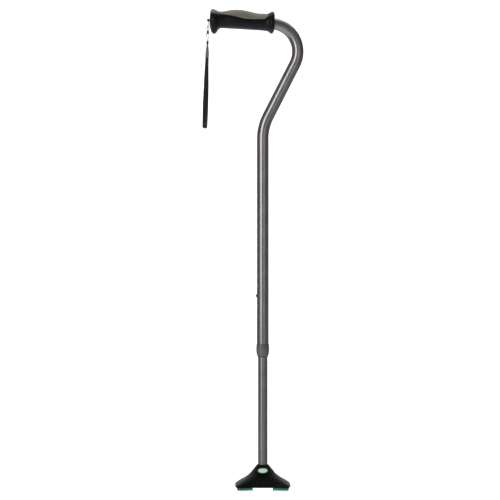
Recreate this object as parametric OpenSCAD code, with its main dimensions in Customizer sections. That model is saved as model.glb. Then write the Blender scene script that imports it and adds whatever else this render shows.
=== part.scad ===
// Offset walking cane on a small four-footed base.
// Millimetres, +Z up. The origin is on the shaft's axis at floor level.
// The grip points along -X and the badge on the base faces -Y.

/* [Tubes] */
// Outside diameter of the bent upper tube
upper_od = 22.2; // [22:0.1:22.4]
// Wall thickness of the upper tube
upper_wall = 1.3; // [1.2:0.05:1.6]
// Outside diameter of the straight lower tube
lower_od = 17.8; // [17.6:0.1:18]
// Wall thickness of the lower tube
lower_wall = 1.4; // [1.2:0.1:1.6]
// Height of the upper tube's bottom end above the floor
upper_end_z = 261; // [255:1:270]
// Height of the lower tube's top end above the floor
lower_top_z = 400; // [392:1:410]

/* [Offset handle] */
// Height at which the lower bend starts
elbow_start_z = 666; // [655:1:675]
// Angle between the slanted stretch and the shaft
slant = 27; // [25:0.5:29]
// Centreline radius of the lower bend
elbow_r = 90; // [80:1:100]
// Straight length between the two bends
slant_straight = 112.5; // [104:0.5:118]
// Centreline radius of the top bend
top_r = 53.2; // [52:0.1:55]
// Rise of the handle towards its free end
handle_tilt = 3; // [2:0.5:4]
// Straight tube length inside the grip
handle_tube_length = 101; // [96:1:104]

/* [Height setting] */
// Height of the snap button's axis above the floor
button_z = 367; // [360:1:372]
// Distance between neighbouring height holes
hole_pitch = 19.05; // [19.05:0.05:19.3]
// Radius of the snap button
button_r = 3.1; // [2.9:0.05:3.3]
// How far the button's tip stands out of the upper tube
button_proud = 2.1; // [1.5:0.1:2.5]

/* [Locking collar] */
// Height of the collar's lower edge above the floor
collar_z = 252.6; // [250:0.2:256]
// Number of finger flutes around the collar
flutes = 20; // [12:1:24]

/* [Grip] */
// Thickness of the soft pad on top of the grip
pad_depth = 2.4; // [2:0.1:2.6]
// Number of points along each half of a grip section
grip_steps = 20; // [12:1:28]

/* [Base] */
// Height of the rubber base's neck above the floor
pod_top_z = 46.6; // [45:0.2:50]
// Base depth as a fraction of its width
pod_depth_ratio = 0.84; // [0.78:0.01:0.9]
// Height of the centre about which the base flexes
flex_z = 18; // [17:0.5:19]
// Thickness of the tread pads
tread_h = 6; // [5:0.5:6]

/* [Wrist strap] */
// Angle by which the strap hangs away from the shaft's direction
strap_lean = 1.8; // [1:0.1:2.5]
// Distance from the lug's hole to the bottom of the webbing loop
strap_drop = 206; // [180:1:210]
// Width of the webbing
webbing_w = 10; // [9:0.5:12]
// Turn of the webbing's width away from the X axis
webbing_turn = 56; // [45:1:75]

/* [Hidden] */
$fn = 72;

// Tubes
upper_r = upper_od / 2;
upper_bore_r = upper_r - upper_wall;
lower_r = lower_od / 2;
lower_bore_r = lower_r - lower_wall;
run_fit = 0.06;

// Centreline of the upper tube
top_sweep = slant + 90 - handle_tilt;
// The tube is drawn down this much in radius at the lower bend and again in the grip
drawn_step = 0.05;
handle_step = 2 * drawn_step;
// Angle by which the lower bend starts inside the straight stretch
bend_lap = 0.3;

// Height holes, numbered from the button's own hole
holes_below = 2;
holes_above = 10;
hole_r = button_r + 0.1;

// Snap button, measured from the shaft's axis
button_tip = upper_r + button_proud;
button_flange_x = 5;
button_flange_t = 1;
spring_t = 0.6;
spring_w = 5;
spring_gap = 0.1;
spring_drop = 34;

// Locking collar, heights measured from its lower edge
collar_fit = 0.1;
collar_h = 23.8;
collar_floor = 4;
collar_ring_h = 2.9;
flange_h = 1.4;

// Grip sections in the handle's frame: place along the axis, height above it,
// depth below it and half-width. The free end comes first.
front_sections = [
    [-117.4, 13.5, 8.0, 11.5], [-116.7, 18.6, 11.8, 16.0], [-115.4, 20.6, 15.2, 18.6],
    [-114.2, 21.5, 19.0, 20.4], [-111.2, 21.7, 24.0, 21.8], [-106.6, 20.2, 25.7, 21.8],
    [-102.6, 18.3, 22.2, 19.6], [-99.8, 17.8, 17.4, 17.4], [-95.5, 17.8, 14.2, 16.6]
];
palm_sections = [
    [-88, 19.2, 13.9, 17.0], [-78, 21.6, 13.9, 18.0], [-68, 22.7, 13.9, 18.6],
    [-58, 22.5, 14.0, 18.6], [-48, 21.5, 14.1, 18.2], [-38, 19.6, 14.2, 17.4],
    [-27, 17.8, 14.3, 16.8], [-14, 17.9, 14.6, 16.9], [-9.5, 18.2, 14.9, 17.1],
    [-6, 19.3, 15.7, 18]
];
back_sections = [
    [-5.4, 19.6, 15.9, 18.2], [-3.2, 21.0, 17.4, 19.4],
    [0.4, 23.1, 19.6, 21.4], [3.6, 21.9, 18.6, 20.4], [5.6, 18.4, 15.8, 17.4],
    [6.2, 15.4, 13.6, 14.8]
];
pad_edge = [[-117, 12.7], [-95, 12.6], [-73, 9.2], [-51, 4.8], [-35, 4.5], [-13, 6.2], [-6, 13]];
pad_lip = 4;
pad_gap = 0.1;
core_wall = 1;
core_end = -103;
plug_length = 15;
stem_r = 2.5;
cap_r = 7;
cap_recess = 2.4;
grip_face = front_sections[0][0];

// Wrist strap, distances measured down from the lug's hole
lug_x = -120;
lug_r = 2.6;
lug_t = 3;
tie_r = 0.65;
ring_r = 2.6;
ring_wire_r = 0.6;
ring_centre = 15.8;
barrel_top = 19.7;
barrel_h = 6.6;
barrel_r = 2.1;
chamber_top = 1.3;
chamber_h = 2;
pin_r = 0.6;
leader_r = 0.55;
leader_hole = 24.9;
ferrule_top = 39.3;
ferrule_h = 7.2;
tab_top = 45;
tab_bottom = 71;
webbing_top = 66;
webbing_t = 1.2;
loop_r = 3.4;

// Outline of the base: height, half-width, squareness and waist of each section
pod_sections = [
    [6, 50.4, 4, 0.2], [7, 52, 4, 0.2], [8.4, 52.4, 4, 0.2], [10.6, 51, 4, 0.2],
    [13.4, 47.4, 3.8, 0.19], [17, 42, 3.5, 0.17], [21.2, 35.6, 3.2, 0.13],
    [25.8, 29.6, 2.8, 0.09], [30.6, 24.4, 2.5, 0.05], [35, 20.6, 2.2, 0.02],
    [39, 17.3, 2, 0], [42.8, 14.2, 2, 0], [45.6, 12, 2, 0], [pod_top_z, 11.2, 2, 0]
];
hollow_sections = [
    [5, 45, 4, 0.2], [9.5, 43, 4, 0.2], [13.5, 35, 3.4, 0.16], [18, 24, 2.8, 0.1]
];
pod_steps = 64;
pod_base_z = pod_sections[0][0];
foot_x = 19;
foot_y = 13;
peg = [36, 27];
peg_r = 4;
peg_h = 5;
boss_r = 16.5;
plate_r = 25;
plate_seat_r = 27.5;
plate_z = 6.5;
plate_h = 5;
dome_r = 8;
dome_gap = 0.3;
socket_wall = 1.8;
socket_floor = 2;
washer_h = 1.5;
lower_end_z = flex_z + socket_floor + washer_h;
socket_top_z = 38;
badge_size = [17.6, 10.8];
bezel_rim = 1.3;
badge_lift = 0.6;
badge_z = 36.2;
badge_y = -19.2;
badge_lean = 48;

function superpoint(t, n) = [
    sign(cos(t)) * pow(abs(cos(t)), 2 / n), sign(sin(t)) * pow(abs(sin(t)), 2 / n)
];
function waist(t, c) = 1 - c * pow(cos(2 * t), 2);
function reach(n, c) = max([for (t = [0 : 2.5 : 45]) superpoint(t, n)[0] * waist(t, c)]);
function depth_ratio(z) = lookup(z, [[16, pod_depth_ratio], [pod_top_z - 6, 1]]);
function plan_point(section, t) =
    let (k = section[1] * waist(t, section[3]) / reach(section[2], section[3]),
         p = superpoint(t, section[2]))
    [p[0] * k, p[1] * k * depth_ratio(section[0])];
function plan_ring(section, steps) = [
    for (i = [0 : steps - 1]) plan_point(section, (i + 0.5) * 360 / steps)
];

function grip_point(s, t, inset) =
    let (p = [s[3] * cos(t), (sin(t) > 0 ? s[1] : s[2]) * sin(t)])
    [s[0], p[0] * (1 - inset / norm(p)), p[1] * (1 - inset / norm(p))];
function edge_angle(s) = asin(min(0.96, lookup(s[0], pad_edge) / s[1]));
function grip_arc(s, from, to, inset) = [
    for (i = [0 : grip_steps]) grip_point(s, from + (to - from) * i / grip_steps, inset)
];
function under_arc(s) = grip_arc(s, 180 - edge_angle(s), 360 + edge_angle(s), 0);
function seat_arc(s, lip, inset) = grip_arc(s, edge_angle(s) + lip, 180 - edge_angle(s) - lip, inset);
function seat_arc_back(s, lip, inset) = grip_arc(s, 180 - edge_angle(s) - lip, edge_angle(s) + lip, inset);

// Solid through rings of equal length, each counter-clockwise seen from ahead
module loft(rings) {
    n = len(rings[0]);
    last = len(rings) - 1;
    sides = [
        for (i = [0 : last - 1], j = [0 : n - 1]) let (k = (j + 1) % n)
            each [[i * n + j, (i + 1) * n + k, i * n + k], [i * n + j, (i + 1) * n + j, (i + 1) * n + k]]
    ];
    first_face = [for (j = [0 : n - 1]) j];
    last_face = [for (j = [n - 1 : -1 : 0]) last * n + j];
    polyhedron([for (ring = rings) each ring], concat([first_face], sides, [last_face]));
}

// Round cord along points in the XZ plane
module cord_xz(points, r, sides) {
    last = len(points) - 1;
    function along(i) = points[min(i + 1, last)] - points[max(i - 1, 0)];
    function across(i) = [-along(i)[1], along(i)[0]] / norm(along(i));
    function ring(i) = [
        for (a = [0 : 360 / sides : 359])
            [points[i][0] + r * cos(a) * across(i)[0], -r * sin(a), points[i][1] + r * cos(a) * across(i)[1]]
    ];
    loft([for (i = [0 : last]) ring(i)]);
}

// Frame of the slanted stretch, origin at the lower bend's centre
module past_elbow() {
    translate([elbow_r, 0, elbow_start_z]) rotate([0, slant, 0]) children();
}

// Frame of the top bend, origin at its centre
module top_bend() {
    past_elbow() translate([-elbow_r - top_r, 0, slant_straight]) children();
}

// Frame of the handle: X along its axis, origin where the top bend ends
module on_handle() {
    top_bend() rotate([0, -top_sweep, 0]) translate([top_r, 0, 0]) rotate([0, 90, 0]) children();
}

// Cylinder along the handle's axis between two places
module handle_rod(r, from, to) {
    translate([from, 0, 0]) rotate([0, 90, 0]) cylinder(r = r, h = to - from);
}

// Frame of the wrist strap: Z along it, origin in the lug's hole
module on_strap() {
    on_handle() translate([lug_x, 0, 0]) rotate([0, strap_lean - handle_tilt, 0]) children();
}

// Tube between two radii
module sleeve(inner, outer, h) {
    difference() {
        cylinder(r = outer, h = h);
        translate([0, 0, -1]) cylinder(r = inner, h = h + 2);
    }
}

// Solid along the upper tube's whole centreline, run past both ends by extra.
// Each straight stretch is turned so that its seam meets the next bend's seam.
module tube_path(r, extra) {
    union() {
        translate([0, 0, upper_end_z - extra]) rotate([0, 0, 180])
            cylinder(r = r, h = elbow_start_z - upper_end_z + extra);
        translate([elbow_r, 0, elbow_start_z]) rotate([90, 0, 0]) rotate([0, 0, 180 - slant])
            rotate_extrude(angle = slant + bend_lap) translate([elbow_r, 0]) circle(r = r - drawn_step);
    }
    union() {
        past_elbow() translate([-elbow_r, 0, 0]) rotate([0, 0, 180])
            cylinder(r = r - drawn_step, h = slant_straight);
        union() {
            top_bend() rotate([90, 0, 0]) rotate_extrude(angle = top_sweep)
                translate([top_r, 0]) rotate(180) circle(r = r - drawn_step);
            on_handle() handle_rod(r - handle_step, -handle_tube_length - extra, 0.5);
        }
    }
}

// Rubber base
module pod_shell() {
    difference() {
        loft([for (s = pod_sections) [for (p = plan_ring(s, pod_steps)) [p[0], p[1], s[0]]]]);
        intersection() {
            loft([for (s = hollow_sections) [for (p = plan_ring(s, pod_steps)) [p[0], p[1], s[0]]]]);
            union() {
                translate([-foot_x + 2, -60, 0]) cube([2 * foot_x - 4, 120, 30]);
                translate([-60, -foot_y + 2, 0]) cube([120, 2 * foot_y - 4, 30]);
            }
        }
    }
}

module badge_prism(grow, from, to) {
    translate([0, badge_y, badge_z]) rotate([badge_lean, 0, 0]) translate([0, 0, from])
        linear_extrude(to - from)
            polygon([for (a = [0 : 7.5 : 359])
                [(badge_size[0] / 2 + grow) * cos(a), (badge_size[1] / 2 + grow) * sin(a)]]);
}

module pod_body() {
    color([0.07, 0.09, 0.08]) difference() {
        union() {
            pod_shell();
            translate([0, 0, pod_base_z]) cylinder(r = boss_r, h = 18);
            translate([0, 0, pod_base_z]) cylinder(r = plate_seat_r, h = plate_h + 3);
            badge_prism(bezel_rim + 0.6, -7, badge_lift - 0.05);
        }
        badge_prism(bezel_rim + 0.6, badge_lift - 0.05, 8);
        translate([0, 0, plate_z - 1]) cylinder(r = plate_r, h = plate_h + 1);
        translate([0, 0, plate_z + plate_h - 1])
            cylinder(r = lower_r + socket_wall + run_fit, h = socket_top_z - plate_z - plate_h + 1);
        translate([0, 0, socket_top_z - 1]) cylinder(r = lower_r + run_fit, h = 20);
        for (x = [-peg[0], peg[0]], y = [-peg[1], peg[1]])
            translate([x, y, pod_base_z - 1]) cylinder(r = peg_r, h = peg_h + 1);
    }
}

// Green tread pad under one foot, with crosswise ribs on its sole
module tread_pad(sx, sy) {
    rib = 2.6;
    groove = 1.6;
    groove_depth = 2.4;
    edge = plan_ring([pod_base_z, 49.4, 4, 0.2], 96);
    corner = [for (p = edge) if (p[0] > foot_x && p[1] > foot_y) p];
    outline = concat(corner, [
        [foot_x, corner[len(corner) - 1][1]], [foot_x, foot_y + 4], [foot_x + 1.2, foot_y + 1.2],
        [foot_x + 4, foot_y], [corner[0][0], foot_y]
    ]);
    color([0.12, 0.52, 0.38]) mirror([sx < 0 ? 1 : 0, 0, 0]) mirror([0, sy < 0 ? 1 : 0, 0]) {
        difference() {
            linear_extrude(tread_h) polygon(outline);
            for (x = [foot_x + rib : rib + groove : 55])
                translate([x, 0, -1]) cube([groove, 60, groove_depth + 1]);
        }
        translate([peg[0], peg[1], tread_h]) cylinder(r = peg_r, h = peg_h);
    }
}

// Steel plate in the base with a dish for the socket's dome
module pod_core_plate() {
    color([0.62, 0.63, 0.64]) difference() {
        translate([0, 0, plate_z]) cylinder(r = plate_r, h = plate_h);
        translate([0, 0, flex_z]) sphere(r = dome_r + dome_gap);
    }
}

module badge_bezel() {
    color([0.06, 0.30, 0.20]) difference() {
        badge_prism(bezel_rim, badge_lift, 2);
        badge_prism(0, 0, 3);
    }
}

module badge() {
    color([0.70, 0.86, 0.76]) badge_prism(0, badge_lift, 1.6);
}

// Stiff cup on the lower tube's end, with a dome that rocks in the plate
module pod_socket() {
    color([0.20, 0.21, 0.22]) {
        translate([0, 0, flex_z + socket_floor])
            sleeve(lower_r, lower_r + socket_wall, socket_top_z - flex_z - socket_floor);
        translate([0, 0, flex_z]) cylinder(r = lower_r + socket_wall, h = socket_floor);
        intersection() {
            translate([0, 0, flex_z]) sphere(r = dome_r);
            translate([-10, -10, flex_z - dome_r - 1]) cube([20, 20, dome_r + 1]);
        }
    }
}

module tube_washer() {
    color([0.72, 0.73, 0.74]) translate([0, 0, flex_z + socket_floor]) cylinder(r = lower_r - 0.2, h = washer_h);
}

module lower_tube() {
    color([0.46, 0.44, 0.44]) difference() {
        translate([0, 0, lower_end_z]) sleeve(lower_bore_r, lower_r, lower_top_z - lower_end_z);
        translate([-button_tip, 0, button_z]) rotate([0, 90, 0]) cylinder(r = hole_r, h = button_tip);
    }
}

// Plastic guide on the lower tube's top end
module slide_bushing() {
    color([0.15, 0.15, 0.16]) {
        translate([0, 0, lower_top_z]) sleeve(lower_bore_r - 1.5, upper_bore_r - run_fit, 6);
        translate([0, 0, lower_top_z - 10]) sleeve(lower_bore_r - 1.5, lower_bore_r, 10);
    }
}

// Spring strip inside the lower tube, bent to a U below the button
module button_spring() {
    near = button_flange_x - spring_gap;
    far = 6.6;
    bend_r = (near + far) / 2;
    color([0.75, 0.76, 0.78]) translate([0, spring_w / 2, button_z]) rotate([90, 0, 0]) linear_extrude(spring_w) {
        translate([-near, -spring_drop]) square([spring_t, spring_drop + 5]);
        translate([far - spring_t, -spring_drop]) square([spring_t, spring_drop + 8]);
        translate([bend_r - near, -spring_drop]) difference() {
            circle(r = bend_r);
            circle(r = bend_r - spring_t);
            translate([-10, 0]) square([20, 10]);
        }
    }
}

module snap_button() {
    dome = 1.2;
    color([0.70, 0.70, 0.71]) translate([0, 0, button_z]) rotate([0, -90, 0]) rotate_extrude()
        polygon([
            [0, button_flange_x], [button_r + 0.9, button_flange_x],
            [button_r + 0.9, button_flange_x + button_flange_t], [button_r, button_flange_x + button_flange_t],
            [button_r, button_tip - dome], [button_r * 0.9, button_tip - dome * 0.5],
            [button_r * 0.66, button_tip - dome * 0.18], [button_r * 0.34, button_tip - dome * 0.03],
            [0, button_tip]
        ]);
}

module upper_tube() {
    color([0.58, 0.56, 0.56]) difference() {
        tube_path(upper_r, 0);
        tube_path(upper_bore_r, 1);
        for (i = [-holes_below : holes_above])
            translate([-button_tip, 0, button_z + i * hole_pitch]) rotate([0, 90, 0])
                cylinder(r = hole_r, h = button_tip);
    }
}

// Thin plastic liner in the upper tube's mouth, with a flange under its end
module guide_bush() {
    color([0.16, 0.16, 0.17]) {
        translate([0, 0, upper_end_z]) sleeve(lower_r + run_fit, upper_bore_r, 22);
        translate([0, 0, upper_end_z - flange_h]) sleeve(lower_r + run_fit, upper_r, flange_h);
    }
}

// Split ring that the collar squeezes against the lower tube
module clamp_ring() {
    color([0.30, 0.30, 0.31]) translate([0, 0, collar_z + collar_floor]) difference() {
        sleeve(lower_r + run_fit, upper_r - 0.7, collar_ring_h - 0.1);
        translate([0, -0.75, -1]) cube([20, 1.5, 6]);
    }
}

module locking_collar() {
    flute_r = 1.1;
    flute_depth = 0.5;
    color([0.50, 0.49, 0.49]) difference() {
        translate([0, 0, collar_z]) rotate_extrude() polygon([
            [lower_r + 0.3, 0], [9.9, 0], [11.35, 3.4], [12, 7], [12.45, 11], [12.5, 14.5],
            [12.2, 18.4], [11.8, 22.6], [11.6, collar_h], [upper_r + collar_fit, collar_h],
            [upper_r + collar_fit, collar_floor + collar_ring_h], [upper_r - 0.5, collar_floor + collar_ring_h],
            [upper_r - 0.5, collar_floor], [lower_r + 0.3, collar_floor]
        ]);
        for (i = [0 : flutes - 1]) rotate([0, 0, i * 360 / flutes])
            translate([12.45 + flute_r - flute_depth, 0, collar_z + 5.5]) cylinder(r = flute_r, h = 14, $fn = 24);
    }
}

module tube_plug() {
    color([0.18, 0.18, 0.19]) on_handle() difference() {
        union() {
            handle_rod(upper_bore_r - handle_step, -handle_tube_length, plug_length - handle_tube_length);
            handle_rod(upper_r, core_end, -handle_tube_length);
        }
        handle_rod(stem_r, core_end - 1, 1 + plug_length - handle_tube_length);
    }
}

module grip_core() {
    color([0.24, 0.24, 0.25]) on_handle() difference() {
        handle_rod(upper_r + core_wall, core_end, -1);
        handle_rod(upper_r, core_end - 1, 0);
    }
}

module grip_body() {
    seated = [for (s = concat(front_sections, palm_sections)) concat(under_arc(s), seat_arc(s, pad_lip, pad_depth))];
    plain = [for (s = back_sections) concat(under_arc(s), seat_arc(s, pad_lip, 0))];
    color([0.06, 0.07, 0.08]) difference() {
        on_handle() loft(concat(seated, plain));
        on_handle() handle_rod(upper_r + core_wall, core_end, -1);
        on_handle() handle_rod(stem_r, grip_face - 1, core_end + 1);
        on_handle() handle_rod(cap_r, grip_face - 1, grip_face + cap_recess);
        tube_path(upper_r, 0);
    }
}

module grip_gel_pad() {
    color([0.54, 0.52, 0.48]) on_handle() loft([
        for (s = concat(front_sections, palm_sections))
            concat(seat_arc(s, 0.6, 0), seat_arc_back(s, pad_lip + 0.6, pad_depth - pad_gap))
    ]);
}

module grip_end_cap() {
    color([0.10, 0.10, 0.11]) on_handle() difference() {
        handle_rod(cap_r, grip_face + 0.4, grip_face + cap_recess);
        handle_rod(stem_r, grip_face - 1, grip_face + cap_recess + 1);
    }
}

// Ear on a long stem; the tie cord runs through its hole along Y
module strap_lug() {
    color([0.22, 0.22, 0.23]) on_handle() difference() {
        union() {
            handle_rod(stem_r, lug_x + 1.6, plug_length - handle_tube_length);
            translate([lug_x, lug_t / 2, 0]) rotate([90, 0, 0]) cylinder(r = lug_r, h = lug_t);
        }
        translate([lug_x, 5, 0]) rotate([90, 0, 0]) cylinder(r = tie_r + 0.2, h = 10);
    }
}

// Closed loop of thin cord: through the lug's hole, down both sides and round the ring
module tie_cord() {
    low = ring_centre - ring_r + ring_wire_r + tie_r + 0.15;
    hip = lug_t / 2 + tie_r + 0.35;
    color([0.12, 0.12, 0.13]) on_strap() rotate([0, 0, 90]) {
        translate([-hip + 0.7, 0, 0]) rotate([0, 90, 0]) cylinder(r = tie_r, h = 2 * hip - 1.4, $fn = 24);
        for (side = [-1, 1]) scale([side, 1, 1])
            cord_xz([[hip - 0.8, 0], [hip - 0.25, -0.2], [hip, -0.9], [hip, -4], [1.7, -9],
                [1.45, -low + 1.4], [1.1, -low + 0.5], [0, -low]], tie_r, 10);
    }
}

module strap_ring() {
    color([0.20, 0.20, 0.21]) on_strap() {
        translate([0, 0, -ring_centre]) rotate([90, 0, 0]) rotate_extrude()
            translate([ring_r, 0]) circle(r = ring_wire_r, $fn = 24);
        translate([0, 0, -barrel_top - chamber_top - 1.2]) cylinder(r = pin_r, h = 3.4, $fn = 24);
        translate([0, 0, -barrel_top - chamber_top - 1.5]) cylinder(r = 1.2, h = 1, $fn = 36);
    }
}

module swivel_barrel() {
    color([0.09, 0.09, 0.10]) on_strap() difference() {
        translate([0, 0, -barrel_top - barrel_h]) cylinder(r = barrel_r, h = barrel_h);
        translate([0, 0, -barrel_top - 2]) cylinder(r = pin_r + 0.15, h = 3, $fn = 36);
        translate([0, 0, -barrel_top - chamber_top - chamber_h]) cylinder(r = 1.4, h = chamber_h, $fn = 36);
        translate([-5, 0, -leader_hole]) rotate([0, 90, 0]) cylinder(r = leader_r, h = 10, $fn = 24);
    }
}

// Pale loop of cord from the barrel's cross hole into the ferrule
module leader_cord() {
    hip = barrel_r + leader_r + 0.15;
    color([0.78, 0.78, 0.78]) on_strap() translate([0, 0, -leader_hole]) {
        translate([-hip + 0.6, 0, 0]) rotate([0, 90, 0]) cylinder(r = leader_r, h = 2 * hip - 1.2, $fn = 24);
        for (side = [-1, 1]) scale([side, 1, 1])
            cord_xz([[hip - 0.7, 0], [hip - 0.15, -0.25], [hip, -1], [2.2, -4], [1.6, -8], [1, -12],
                [0.85, leader_hole - ferrule_top - 0.6]], leader_r, 10);
    }
}

module strap_ferrule() {
    color([0.16, 0.16, 0.17]) on_strap() difference() {
        translate([0, 0, -ferrule_top - ferrule_h]) rotate_extrude() polygon([
            [0, 0], [1.9, 0], [2.2, 0.8], [2.2, ferrule_h - 0.8], [1.9, ferrule_h], [0, ferrule_h]
        ]);
        for (side = [-1, 1]) scale([side, 1, 1]) translate([0, 0, -leader_hole])
            cord_xz([[1, -12], [0.85, leader_hole - ferrule_top - 0.6],
                [0.85, leader_hole - ferrule_top - 1]], leader_r + 0.1, 10);
        tab_shape(0.02);
    }
}

// Tapered flat sleeve, grown all round by the given amount
module tab_shape(grow) {
    rotate([0, 0, webbing_turn]) hull() {
        translate([0, 0, -tab_top - 1]) cube([2.4 + grow, 2.2 + grow, 2], center = true);
        translate([0, 0, -tab_top - 12]) cube([webbing_w - 0.6, 3.2, 2], center = true);
        translate([0, 0, -tab_bottom + 1]) cube([webbing_w + 0.8, 3.6, 2], center = true);
    }
}

module webbing_solid() {
    drop = strap_drop - loop_r;
    rotate([0, 0, webbing_turn]) rotate([90, 0, 90]) translate([0, 0, -webbing_w / 2])
        linear_extrude(webbing_w) difference() {
            hull() {
                translate([0, -webbing_top - webbing_t - 0.1]) circle(r = webbing_t + 0.1, $fn = 24);
                translate([0, -drop]) circle(r = loop_r, $fn = 32);
            }
            hull() {
                translate([0, -tab_bottom - 6]) circle(r = 0.1, $fn = 8);
                translate([0, -drop]) circle(r = loop_r - webbing_t, $fn = 32);
            }
        }
}

module reflective_tab() {
    color([0.45, 0.46, 0.46]) on_strap() difference() {
        tab_shape(0);
        webbing_solid();
    }
}

module strap_webbing() {
    color([0.08, 0.08, 0.09]) on_strap() webbing_solid();
}

pod_body();
tread_pad(-1, -1);  // tread_pad_front_left
tread_pad(1, -1);  // tread_pad_front_right
tread_pad(-1, 1);  // tread_pad_rear_left
tread_pad(1, 1);  // tread_pad_rear_right
pod_core_plate();
badge_bezel();
badge();
lower_tube();
pod_socket();
tube_washer();
slide_bushing();
button_spring();
snap_button();
upper_tube();
guide_bush();
clamp_ring();
locking_collar();
tube_plug();
grip_core();
grip_body();
grip_gel_pad();
grip_end_cap();
strap_lug();
tie_cord();
strap_ring();
swivel_barrel();
leader_cord();
strap_ferrule();
reflective_tab();
strap_webbing();
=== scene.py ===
import math

import bmesh
import bpy
from mathutils import Matrix, Vector


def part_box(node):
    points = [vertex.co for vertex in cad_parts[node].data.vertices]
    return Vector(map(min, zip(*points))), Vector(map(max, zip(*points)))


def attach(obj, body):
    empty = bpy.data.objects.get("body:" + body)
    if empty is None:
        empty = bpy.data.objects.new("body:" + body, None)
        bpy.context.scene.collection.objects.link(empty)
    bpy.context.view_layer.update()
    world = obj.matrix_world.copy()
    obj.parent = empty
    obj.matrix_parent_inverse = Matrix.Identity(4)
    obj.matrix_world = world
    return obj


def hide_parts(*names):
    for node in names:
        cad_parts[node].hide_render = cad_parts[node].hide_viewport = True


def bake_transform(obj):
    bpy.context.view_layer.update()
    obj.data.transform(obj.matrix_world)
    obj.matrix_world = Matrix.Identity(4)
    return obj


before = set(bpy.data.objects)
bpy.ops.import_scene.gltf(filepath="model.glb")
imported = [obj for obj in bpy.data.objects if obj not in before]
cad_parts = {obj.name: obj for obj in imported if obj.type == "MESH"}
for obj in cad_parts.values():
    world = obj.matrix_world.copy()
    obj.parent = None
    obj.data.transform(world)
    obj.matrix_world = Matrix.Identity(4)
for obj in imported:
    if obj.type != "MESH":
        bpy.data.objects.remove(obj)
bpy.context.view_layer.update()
MM = 0.001

# ---------------------------------------------------------------- camera

camera = bpy.data.objects.new("camera", bpy.data.cameras.new("camera"))
bpy.context.scene.collection.objects.link(camera)
camera.location = (-0.0242, -4.0, 0.4541)
camera.rotation_euler = (math.radians(90), 0, 0)
camera.data.sensor_width = 36
camera.data.lens = 151.6
camera.data.clip_end = 50
bpy.context.scene.camera = camera

# ---------------------------------------------------------------- places

TILT = math.radians(3)
LEAN = math.radians(1.8)
HANDLE = (16.266, 884.377)
LUG = (-103.569, 890.657)


def on_handle(x, y, z):
    """Row-frame point for millimetres in the handle's frame, X along the grip."""
    return Vector((
        HANDLE[0] + x * math.cos(TILT) + z * math.sin(TILT),
        y,
        HANDLE[1] - x * math.sin(TILT) + z * math.cos(TILT),
    )) * MM


def on_strap(x, y, down):
    """Row-frame point for millimetres in the strap's frame, down from the ear's hole."""
    return Vector((
        LUG[0] + x * math.cos(LEAN) - down * math.sin(LEAN),
        y,
        LUG[1] - x * math.sin(LEAN) - down * math.cos(LEAN),
    )) * MM


def smooth_path(points, steps):
    """A smooth curve through points of any dimension, steps to each stretch."""
    keys = [0.0]
    for a, b in zip(points, points[1:]):
        keys.append(keys[-1] + max(math.dist(a, b), 1e-6))
    last = len(points) - 1

    def slope(i):
        lo, hi = max(i - 1, 0), min(i + 1, last)
        return [(b - a) / (keys[hi] - keys[lo]) for a, b in zip(points[lo], points[hi])]

    out = []
    for i in range(last):
        h = keys[i + 1] - keys[i]
        for k in range(steps):
            t = k / steps
            f = (2 * t**3 - 3 * t**2 + 1, t**3 - 2 * t**2 + t, -2 * t**3 + 3 * t**2, t**3 - t**2)
            out.append([
                f[0] * a + f[1] * h * m + f[2] * b + f[3] * h * n
                for a, m, b, n in zip(points[i], slope(i), points[i + 1], slope(i + 1))
            ])
    out.append(list(points[last]))
    return out


def table(x, rows):
    """Straight-line look-up of x in rows of [x, value]."""
    if x <= rows[0][0]:
        return rows[0][1]
    for (x0, v0), (x1, v1) in zip(rows, rows[1:]):
        if x <= x1:
            return v0 + (v1 - v0) * (x - x0) / (x1 - x0)
    return rows[-1][1]


def step01(t):
    """Smooth step from 0 to 1."""
    t = min(1.0, max(0.0, t))
    return t * t * (3 - 2 * t)


def turn_angles(count):
    """Evenly spaced angles round a full turn."""
    return [2 * math.pi * k / count for k in range(count)]


# ---------------------------------------------------------------- mesh helpers


def add_mesh(name, verts, faces):
    """New object from vertices in metres, its faces turned outward."""
    mesh = bpy.data.meshes.new(name)
    mesh.from_pydata([tuple(v) for v in verts], [], faces)
    bm = bmesh.new()
    bm.from_mesh(mesh)
    bmesh.ops.recalc_face_normals(bm, faces=bm.faces)
    bm.to_mesh(mesh)
    bm.free()
    mesh.shade_smooth()
    obj = bpy.data.objects.new(name, mesh)
    bpy.context.scene.collection.objects.link(obj)
    return obj


def loft(name, rings, closed_path=False):
    """Closed skin through rings of equal length; the ends are filled."""
    n = len(rings[0])
    count = len(rings)
    verts = [p for ring in rings for p in ring]
    spans = count if closed_path else count - 1
    faces = []
    for i in range(spans):
        k = (i + 1) % count
        for j in range(n):
            m = (j + 1) % n
            faces.append((i * n + j, i * n + m, k * n + m, k * n + j))
    if not closed_path:
        for start, ring in ((0, rings[0]), ((count - 1) * n, rings[-1])):
            centre = sum((Vector(p) for p in ring), Vector()) / n
            verts.append(centre)
            faces += [(start + j, start + (j + 1) % n, len(verts) - 1) for j in range(n)]
    return add_mesh(name, verts, faces)


def frames_along(points):
    """Side and up at each point of a polyline, without twist."""
    out = []
    side = None
    for i in range(len(points)):
        a = points[max(i - 1, 0)]
        b = points[min(i + 1, len(points) - 1)]
        along = (b - a).normalized()
        if side is None:
            side = along.orthogonal().normalized()
        side = (side - along * side.dot(along)).normalized()
        out.append((side, along.cross(side)))
    return out


def tube(name, points, radius, sides):
    """Round tube along points in metres."""
    return loft(name, [
        [p + side * math.cos(a) * radius * MM + up * math.sin(a) * radius * MM for a in turn_angles(sides)]
        for p, (side, up) in zip(points, frames_along(points))])


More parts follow.
